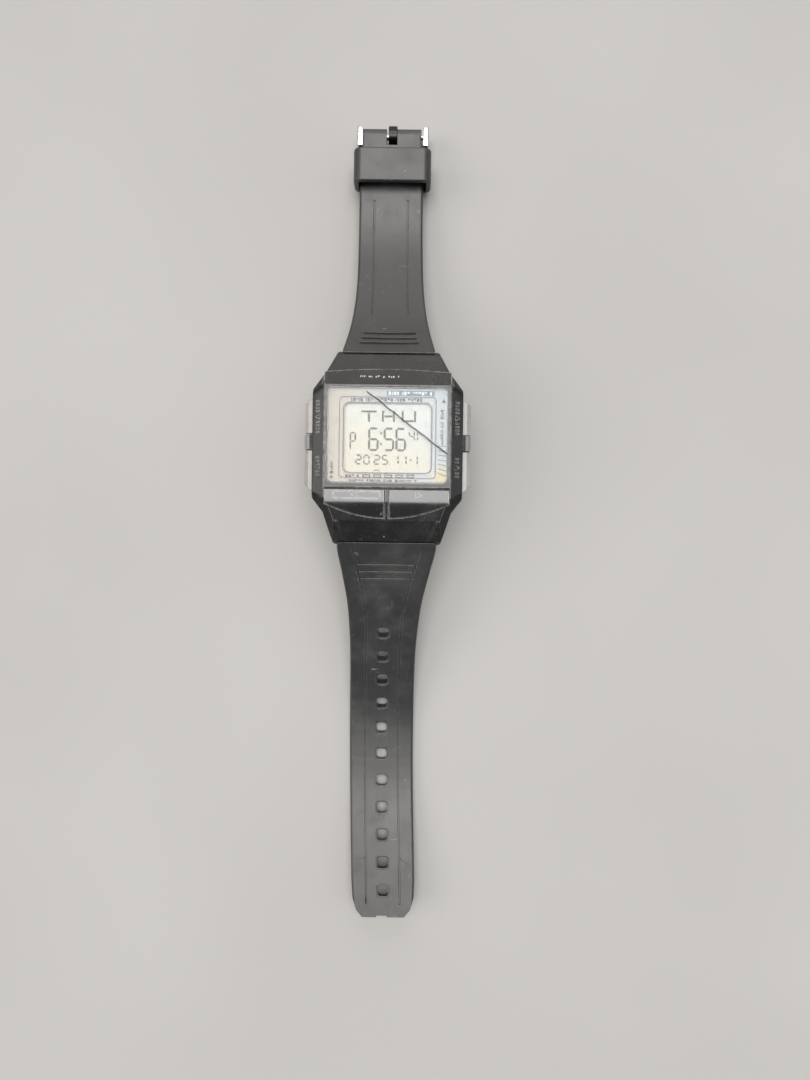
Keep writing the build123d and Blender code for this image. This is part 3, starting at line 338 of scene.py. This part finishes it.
def window_glass():
    """Clear glass with a pale rim painted on as a highlight, scratches, dust and one long crack.

    Apart from these it only reflects and lets light straight through.
    """
    g = Graph("crystal")
    x, y, _ = g.axes(g.mm)
    clear = g.make("ShaderNodeBsdfTransparent", {"Color": (0.97, 0.985, 0.98)}).outputs[0]
    smear = g.noise(0.25, 4.0, 0.6)
    gloss = g.make("ShaderNodeBsdfGlossy", {"Color": (1.0, 1.0, 1.0),
                                            "Roughness": g.fit(smear, 0.4, 0.7, 0.02, 0.09)})
    inside = g.make("ShaderNodeNewGeometry").outputs["Backfacing"]
    mirror = g.make("ShaderNodeFresnel", {"IOR": 1.5}).outputs[0]
    mirror = g.times(mirror, g.math("SUBTRACT", 1.0, inside))
    glass = g.make("ShaderNodeMixShader", {0: mirror, 1: clear, 2: gloss.outputs[0]}).outputs[0]

    haze = g.make("ShaderNodeBsdfDiffuse", {"Color": (0.75, 0.77, 0.78)}).outputs[0]
    hairs = g.most(g.hairs((0.32, 0.035, 0.2), 20, (4, 1, 0), 0.006, 0.42),
                   g.hairs((0.03, 0.26, 0.2), -35, (9, 4, 0), 0.005, 0.4),
                   g.specks(1.4, 0.1, 0.09))
    worn = g.math("ADD", g.times(hairs, 0.28), g.times(g.fit(smear, 0.45, 0.8), 0.05), clamp=True)
    # the tilted bevel faces get a pale haze that worn takes in: a painted highlight along the rim
    slant = g.axes(g.coords.outputs["Normal"])[2]
    rim_highlight = g.times(g.fit(slant, 0.2, 0.5), g.fit(slant, 0.97, 0.85))
    worn = g.most(worn, g.times(rim_highlight, g.fit(smear, 0.3, 0.7, 0.6, 0.95)))
    glass = g.make("ShaderNodeMixShader", {0: worn, 1: glass, 2: haze}).outputs[0]

    # the crack runs from the top edge to the right edge; distance is measured square to it
    start, end = Vector((-4.5, 11.9)), Vector((13.3, -1.7))
    along = (end - start).normalized()
    offset = g.math("ADD", g.times(x, along.y), g.times(y, -along.x))
    level = start.x * along.y - start.y * along.x
    bend = g.times(g.math("SUBTRACT", g.noise(0.3, 2.0, 0.4), 0.5), 0.5)
    gap = g.math("ABSOLUTE", g.math("ADD", g.math("SUBTRACT", offset, level), bend))
    crack = g.times(g.fit(gap, 0.16, 0.05), g.fit(x, -5.0, -4.3), 0.8)
    dark = g.make("ShaderNodeBsdfDiffuse", {"Color": (0.05, 0.05, 0.055)}).outputs[0]
    return g.surface(g.make("ShaderNodeMixShader", {0: crack, 1: glass, 2: dark}).outputs[0])


def ink(name, colour, rough=0.5):
    g = Graph(name)
    fine = g.noise(5.0, 3.0, 0.6)
    tone = g.mix(g.fit(fine, 0.25, 0.75), tint(colour, 0.8), tint(colour, 1.3))
    return g.principled(Base_Color=tone, Roughness=g.fit(fine, 0.2, 0.8, rough, rough + 0.1))


def floor_material():
    g = Graph("studio_floor")
    cloud = g.noise(0.01)
    tone = g.mix(g.fit(cloud, 0.3, 0.7), (0.47, 0.46, 0.445), (0.50, 0.49, 0.475))
    return g.principled(Base_Color=tone, Roughness=0.75, Specular_IOR_Level=0.2)


MATERIALS = {
    # the case's edges get no painted highlight below Y -17.2, and the full one above Y -16.4
    "case_resin": resin("case_resin", grey(0.012, 1.01), 0.24, dust=0.4, hair=0.5, wear=1.0,
                        edge=0.22, pale=0.42, calm=(-17.2, -16.4), pale_from=17.3),
    "strap_resin": resin("strap_resin", grey(0.020, 1.01), 0.42, dust=0.7, hair=0.8, wear=0.6,
                         edge=0.14, pale=0.26, shine=0.95),
    "frame_gloss": resin("frame_gloss", grey(0.010), 0.14, dust=0.3, hair=0.6, wear=1.0,
                         edge=0.25, pale=0.5, grain=0.004),
    "button_resin": resin("button_resin", grey(0.011), 0.15, dust=0.4, hair=0.8, wear=0.9,
                          edge=0.3, pale=0.4, grain=0.004, shine=1.0),
    "crystal": window_glass(),
    "steel_back": metal("steel_back", (0.62, 0.61, 0.59), 0.3, (0.15, 12, 12), wear=0.8),
    "screw_steel": metal("screw_steel", (0.6, 0.6, 0.6), 0.28, (6, 6, 6)),
    "polished_steel": metal("polished_steel", (0.70, 0.69, 0.67), 0.16, (0.5, 8, 8), wear=0.8,
                            dirt=0.25),
    # darkened steel for the buckle tongue: painted shade, standing for a reflection of dark
    # surroundings
    "dark_steel": metal("dark_steel", (0.035, 0.034, 0.033), 0.25, (0.5, 8, 8), wear=0.9),
    "bar_steel": metal("bar_steel", (0.62, 0.62, 0.61), 0.24),
    # pusher edges painted near black: painted shade, a dark outline along their edges
    "pusher_metal": resin("pusher_metal", (0.36, 0.34, 0.32), 0.26, dust=0.4, hair=0.8, wear=1.0,
                          edge=0.16, pale=0.5, grain=0.004, edge_tone=0.05),
    "spring_steel": metal("spring_steel", (0.6, 0.6, 0.6), 0.25),
    "clip_steel": metal("clip_steel", (0.58, 0.58, 0.58), 0.3),
    "cell_steel": metal("cell_steel", (0.7, 0.7, 0.69), 0.22),
    "can_metal": metal("can_metal", (0.65, 0.65, 0.66), 0.25),
    "contact_brass": metal("contact_brass", (0.75, 0.55, 0.22), 0.28),
    "seal_rubber": moulded("seal_rubber", grey(0.02), 0.6),
    "module_plastic": moulded("module_plastic", grey(0.42, 1.02), 0.45),
    "chip_resin": moulded("chip_resin", grey(0.015), 0.5),
    "light_film": moulded("light_film", (0.55, 0.72, 0.62), 0.35, 0.1),
    "board": board_material(),
    "mask_print": silver_foil_with_painted_glare(),
    "lcd_glass": display_with_painted_glare(),
}
for node in NODES.values():
    for slot in node.material_slots:
        slot.material = MATERIALS[slot.material.name.split(".")[0]]
# the tongue gets the darkened steel: a painted dark reflection
NODES["buckle_tongue"].material_slots[0].material = MATERIALS["dark_steel"]


# ---------------------------------------------------------------- new objects

def add_object(name, mesh, material):
    mesh.materials.append(material)
    made = bpy.data.objects.new(name, mesh)
    bpy.context.scene.collection.objects.link(made)
    return made


def add_bmesh(name, bm, material):
    mesh = bpy.data.meshes.new(name)
    bm.to_mesh(mesh)
    bm.free()
    return add_object(name, mesh, material)


def welded(node):
    """A copy of a CAD node's mesh in which faces share their corners."""
    bm = bmesh.new()
    bm.from_mesh(NODES[node].data)
    bmesh.ops.remove_doubles(bm, verts=bm.verts, dist=WELD)
    return bm


def weigh_normals(thing, keep_sharp):
    normal = thing.modifiers.new("normal", "WEIGHTED_NORMAL")
    normal.keep_sharp, normal.weight = keep_sharp, 50


def round_edges(thing, width):
    bevel = thing.modifiers.new("bevel", "BEVEL")
    bevel.width, bevel.segments = width * MM, 3
    bevel.limit_method, bevel.angle_limit = "ANGLE", CREASE
    bevel.use_clamp_overlap, bevel.miter_outer = False, "MITER_ARC"
    weigh_normals(thing, False)


# ---------------------------------------------------------------- edges, buttons and springs

def soften(name, width):
    """Rounds a CAD node's edges with modifiers; its own mesh stays as it is."""
    node = NODES[name]
    weld = node.modifiers.new("weld", "WELD")
    weld.merge_threshold = WELD
    flat = node.modifiers.new("flat", "DECIMATE")
    flat.decimate_type, flat.angle_limit = "DISSOLVE", FLAT
    round_edges(node, width)


def crisp(node, body, slot):
    """Stands for a CAD node with the same shape, smooth over its curves, sharp at its edges."""
    bm = welded(node)
    for face in bm.faces:
        face.smooth = True
    for edge in bm.edges:
        edge.smooth = len(edge.link_faces) == 2 and edge.calc_face_angle(0.0) < CREASE
    made = add_bmesh(node + "_looks", bm, MATERIALS[slot])
    weigh_normals(made, True)
    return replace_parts(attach(made, body), node)


def press_spring(button):
    """The coil spring under a button, with a mesh of its own."""
    spring = crisp(button + "_spring", "case", "spring_steel")
    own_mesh(spring)


# how far each node's edges are rounded, in mm
SOFT_EDGES = {"crystal": 0.05, "keeper_loop": 0.14, "buckle_frame": 0.12, "buckle_tongue": 0.1,
              "case_back": 0.08, "pusher_upper_left": 0.08, "pusher_upper_right": 0.08,
              "pusher_lower_left": 0.08, "pusher_lower_right": 0.08}
for name, width in SOFT_EDGES.items():
    soften(name, width)
for side in ("left", "right"):
    crisp("front_button_" + side, "front_button_" + side + "_body", "button_resin")
    press_spring("front_button_" + side)
    for level in ("upper", "lower"):
        press_spring(f"pusher_{level}_{side}")
crisp("case_body", "case", "case_resin")
crisp("front_frame", "case", "frame_gloss")


# ---------------------------------------------------------------- straps

def part_way(y, first, last):
    """0 before the first place along a strap, 1 after the last, and even between them."""
    return min(1.0, max(0.0, (y - first) / (last - first)))


def long_bow(y):
    """How far the middle of the long strap, which lies in a slight curve, is pushed aside."""
    return -1.05 * math.sin(math.pi * part_way(-y, 22.0, 110.0)) ** 1.2


def short_bow(y):
    """The short strap leans a little, less than the play of its hinge."""
    return -0.25 * part_way(y, 24.0, 54.0)


def strap_piece(node, body, bow, first, last):
    """Strap cut into short lengths so that it can curve sideways, with rounded edges."""
    bm = welded(node)
    bmesh.ops.dissolve_limit(bm, angle_limit=FLAT, verts=bm.verts, edges=bm.edges)
    for y in range(first, last, STRAP_STEP):
        bmesh.ops.bisect_plane(bm, geom=bm.verts[:] + bm.edges[:] + bm.faces[:], dist=WELD,
                               plane_co=(0, y * MM, 0), plane_no=(0, 1, 0))
    for vert in bm.verts:
        vert.co.x += bow(vert.co.y / MM) * MM
    for face in bm.faces:
        face.smooth = True
    made = add_bmesh(node + "_looks", bm, MATERIALS["strap_resin"])
    round_edges(made, 0.06)
    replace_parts(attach(made, body), node)


strap_piece("long_strap", "long_strap_body", long_bow, -111, -18)
strap_piece("short_strap", "short_strap_body", short_bow, 18, 79)


# ---------------------------------------------------------------- thin printed shapes

def rounded(x0, y0, x1, y1, r, steps=6):
    """Corner-rounded rectangle as points, anticlockwise, in millimetres."""
    points = []
    for cx, cy, first in ((x1 - r, y0 + r, -90), (x1 - r, y1 - r, 0),
                          (x0 + r, y1 - r, 90), (x0 + r, y0 + r, 180)):
        for i in range(steps + 1):
            a = math.radians(first + 90 * i / steps)
            points.append((cx + r * math.cos(a), cy + r * math.sin(a)))
    return points


class Print:
    """Flat shapes of one ink, each a thin closed solid, gathered into one mesh, in mm."""

    def __init__(self, low, high):
        self.low, self.high, self.verts, self.faces = low, high, [], []

    def poly(self, points):
        n, k = len(points), len(self.verts)
        for z in (self.low, self.high):
            self.verts += [(x, y, z) for x, y in points]
        self.faces.append([k + i for i in reversed(range(n))])
        self.faces.append([k + n + i for i in range(n)])
        for i in range(n):
            j = (i + 1) % n
            self.faces.append([k + i, k + j, k + n + j, k + n + i])

    def bar(self, x0, y0, x1, y1):
        self.poly([(x0, y0), (x1, y0), (x1, y1), (x0, y1)])

    def line(self, start, end, width):
        a, b = Vector(start), Vector(end)
        side = (b - a).normalized().orthogonal() * width / 2
        self.poly([tuple(a - side), tuple(b - side), tuple(b + side), tuple(a + side)])

    def ring(self, outer, inner):
        n, k = len(outer), len(self.verts)
        for z in (self.low, self.high):
            self.verts += [(x, y, z) for x, y in outer] + [(x, y, z) for x, y in inner]
        for i in range(n):
            j = (i + 1) % n
            low_out, low_in, top_out, top_in = ((k + m * n + i, k + m * n + j) for m in range(4))
            self.faces += [[low_out[1], low_out[0], low_in[0], low_in[1]],
                           [top_out[0], top_out[1], top_in[1], top_in[0]],
                           [low_out[0], low_out[1], top_out[1], top_out[0]],
                           [low_in[1], low_in[0], top_in[0], top_in[1]]]

    def outline(self, x0, y0, x1, y1, r, width):
        self.ring(rounded(x0, y0, x1, y1, r),
                  rounded(x0 + width, y0 + width, x1 - width, y1 - width, r - width))

    def piece(self, name, material):
        mesh = bpy.data.meshes.new(name)
        mesh.from_pydata([(x * MM, y * MM, z * MM) for x, y, z in self.verts], [], self.faces)
        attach(add_object(name, mesh, material), "case")


SEGMENTS = {"0": "abcdef", "1": "bc", "2": "abdeg", "4": "bcfg", "5": "acdfg", "6": "acdefg",
            "P": "abefg", "-": "g"}


def digit(sheet, mark, x0, y0, x1, y1, width):
    """One seven-segment figure whose stroke centres run along the given box."""
    middle, gap = (y0 + y1) / 2, 0.09
    ends = {"a": ((x0, y1), (x1, y1)), "b": ((x1, middle), (x1, y1)),
            "c": ((x1, y0), (x1, middle)), "d": ((x0, y0), (x1, y0)),
            "e": ((x0, y0), (x0, middle)), "f": ((x0, middle), (x0, y1)),
            "g": ((x0, middle), (x1, middle))}
    for segment in SEGMENTS[mark]:
        a, b = (Vector(p) for p in ends[segment])
        along = (b - a).normalized()
        side = along.orthogonal() * width / 2
        slope = along * width / 2
        a, b = a + along * gap, b - along * gap
        sheet.poly([tuple(p) for p in (a, a + slope - side, b - slope - side,
                                       b, b - slope + side, a + slope + side)])


def display():
    """What the display shows: weekday, time with its afternoon mark, seconds and date."""
    sheet = Print(LCD_TOP, 8.63)
    # the weekday's three letters in plain bars, and a short mark below the date
    for x0, y0, x1, y1 in ((-5.9, 7.55, -2.5, 8.0), (-4.45, 5.5, -3.95, 7.45),
                           (-1.3, 5.5, -0.85, 8.0), (-0.75, 6.5, 1.05, 6.95),
                           (1.15, 5.5, 1.6, 8.0), (3.1, 5.5, 3.55, 8.0),
                           (3.65, 5.5, 5.75, 5.95), (5.85, 5.5, 6.3, 8.0),
                           (-3.1, -5.4, -1.7, -5.2)):
        sheet.bar(x0, y0, x1, y1)
    digit(sheet, "P", -8.3, -0.8, -7.2, 3.0, 0.36)
    for mark, x in (("6", -4.1), ("5", -0.65), ("6", 2.0)):
        digit(sheet, mark, x, -0.8, x + 1.9, 4.0, 0.5)
    for y in (0.3, 2.7):
        sheet.bar(-1.6, y, -1.2, y + 0.5)
    for mark, x in (("4", 4.85), ("1", 5.6)):
        digit(sheet, mark, x, 1.3, x + 1.1, 3.4, 0.3)
    for mark, x, wide in (("2", -7.0, 1.15), ("0", -5.2, 1.15), ("2", -2.9, 1.15),
                          ("5", -1.1, 1.15), ("1", 1.3, 1.1), ("1", 3.1, 1.1),
                          ("-", 4.85, 0.75), ("1", 5.6, 1.1)):
        digit(sheet, mark, x, -3.95, x + wide, -2.0, 0.34)
    sheet.piece("display_figures", ink("display_ink", (0.048, 0.043, 0.038), 0.4))


def tokens(sheet, x0, x1, y0, y1, rng, upright=False):
    """A row of small strokes in word-like groups.

    They stand where words are printed and spell nothing.
    """
    at = x0
    while at < x1 - 0.5:
        for _ in range(rng.randint(3, 6)):
            wide = rng.choice((0.24, 0.4, 0.55))
            if at + wide > x1:
                break
            low = y0 + (y1 - y0) * rng.choice((0, 0, 0.45))
            sheet.bar(*((low, at, y1, at + wide) if upright else (at, low, at + wide, y1)))
            at += wide + 0.2
        at += 0.5


def face_print():
    """The printing on the silver foil: outlines, scales and rows of strokes."""
    rng = random.Random(7)
    outlines = Print(FOIL_TOP, 9.075)
    outlines.outline(-10.85, -7.2, 10.85, 11.05, 0.9, 0.24)
    outlines.outline(-10.0, -6.15, 10.0, 9.85, 1.6, 0.3)
    outlines.piece("face_outlines", ink("print_grey", (0.12, 0.125, 0.15)))
    dark = Print(FOIL_TOP, 9.08)
    tokens(dark, -8.2, 8.6, 10.0, 10.72, rng)
    for i in range(5):
        x = -5.5 + i * 2.45
        dark.outline(x, -7.06, x + 1.75, -6.26, 0.15, 0.24)
    tokens(dark, -9.3, -5.9, -7.0, -6.35, rng)
    tokens(dark, -8.5, 7.2, -8.0, -7.4, rng)
    tokens(dark, 0.6, 8.6, 11.75, 12.45, rng, upright=True)
    dark.poly([(12.0, 9.8), (12.9, 9.8), (12.45, 10.7)])
    tokens(dark, -6.2, -2.7, -12.75, -12.0, rng, upright=True)
    dark.poly([(-12.85, -7.2), (-11.95, -7.2), (-12.4, -6.5)])
    for i in range(7):
        y = 0.2 - i
        dark.line((11.3, y), (13.1, y - 0.12 * i), 0.16)
    dark.piece("face_lines", ink("print_dark", (0.022, 0.024, 0.032)))
    band = Print(FOIL_TOP, 9.07)
    band.bar(-0.3, 11.25, 10.4, 12.4)
    band.piece("face_band", ink("print_band", (0.13, 0.16, 0.23)))
    white = Print(9.075, 9.095)
    tokens(white, 0.1, 10.0, 11.45, 12.2, rng)
    white.piece("face_band_marks", ink("print_white", (0.75, 0.76, 0.78)))


def flecks():
    """What is left of worn paint on the band above the glass: small flecks on its surface."""
    mesh, rng = NODES["front_frame"].data, random.Random(3)
    tree = BVHTree.FromPolygons([v.co for v in mesh.vertices],
                                [list(p.vertices) for p in mesh.polygons])
    above, down = 0.05, Vector((0, 0, -1))
    corners = 7
    bm = bmesh.new()
    x = -6.2
    while x < 2.2:
        size = rng.uniform(0.18, 0.42)
        cx, cy = x + size / 2, 15.3 + rng.uniform(-0.12, 0.12)
        ring = []
        for i in range(corners):
            a, r = i * math.tau / corners, rng.uniform(0.55, 1.0)
            px, py = cx + size * r * math.cos(a) * 0.7, cy + 0.28 * r * math.sin(a)
            ring.append(tree.ray_cast(Vector((px * MM, py * MM, above)), down)[0])
        low, high = ([bm.verts.new(hit + Vector((0, 0, lift * MM))) for hit in ring]
                     for lift in (-0.01, 0.02))
        bm.faces.new(high)
        bm.faces.new(low[::-1])
        for i in range(corners):
            j = (i + 1) % corners
            bm.faces.new((low[i], low[j], high[j], high[i]))
        x += size + rng.choice((0.15, 0.2, 0.75))
    made = add_bmesh("band_flecks", bm, ink("fleck_paint", (0.55, 0.54, 0.51)))
    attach(made, "case")


display()
face_print()
flecks()


# ---------------------------------------------------------------- studio

def floor():
    z, half = CAD_BOX[0].z, 3.0
    mesh = bpy.data.meshes.new("floor")
    mesh.from_pydata([(-half, -half, z), (half, -half, z), (half, half, z), (-half, half, z)],
                     [], [(0, 1, 2, 3)])
    add_object("floor", mesh, floor_material())


def sky(scene):
    """A dim blue sky that lights the watch, seen by the camera as a pale backdrop."""
    world = bpy.data.worlds.new("studio")
    world.use_nodes = True
    tree = world.node_tree
    light = tree.nodes["Background"]
    light.inputs[0].default_value, light.inputs[1].default_value = (0.93, 0.95, 1.0, 1), 0.2
    backdrop, path, choice = (tree.nodes.new("ShaderNode" + kind)
                              for kind in ("Background", "LightPath", "MixShader"))
    backdrop.inputs[0].default_value = (0.98, 0.97, 0.95, 1)
    backdrop.inputs[1].default_value = 0.62
    tree.links.new(path.outputs["Is Camera Ray"], choice.inputs[0])
    tree.links.new(light.outputs[0], choice.inputs[1])
    tree.links.new(backdrop.outputs[0], choice.inputs[2])
    tree.links.new(choice.outputs[0], tree.nodes["World Output"].inputs[0])
    scene.world = world


def lamps(scene):
    """Wide suns. Each has its tilt about X and Y in degrees, strength, spread and colour."""
    for name, tilt, strength, spread, colour in (
            ("overhead", (-10, 0), 2.35, 44, (1.0, 0.985, 0.96)),
            ("back", (-62, 0), 0.55, 40, (1.0, 0.97, 0.93)),
            ("left", (0, -50), 0.9, 40, (1.0, 0.96, 0.91)),
            ("right", (0, 50), 0.3, 40, (0.95, 0.97, 1.0))):
        light = bpy.data.lights.new(name, "SUN")
        light.energy, light.angle, light.color = strength, math.radians(spread), colour
        lamp = bpy.data.objects.new(name, light)
        lamp.rotation_euler = (math.radians(tilt[0]), math.radians(tilt[1]), 0)
        scene.collection.objects.link(lamp)


def camera(scene):
    """Looks straight down, turned a little as the photograph is."""
    lens = bpy.data.cameras.new("camera")
    lens.lens, lens.sensor_width, lens.clip_start = 26, 36, 0.01
    eye = bpy.data.objects.new("camera", lens)
    eye.location = (0.0042, -0.0208, 0.1827)
    eye.rotation_euler = (0, 0, math.radians(0.75))
    scene.collection.objects.link(eye)
    scene.camera = eye
    scene.view_settings.view_transform = "Standard"


floor()
sky(bpy.context.scene)
lamps(bpy.context.scene)
camera(bpy.context.scene)
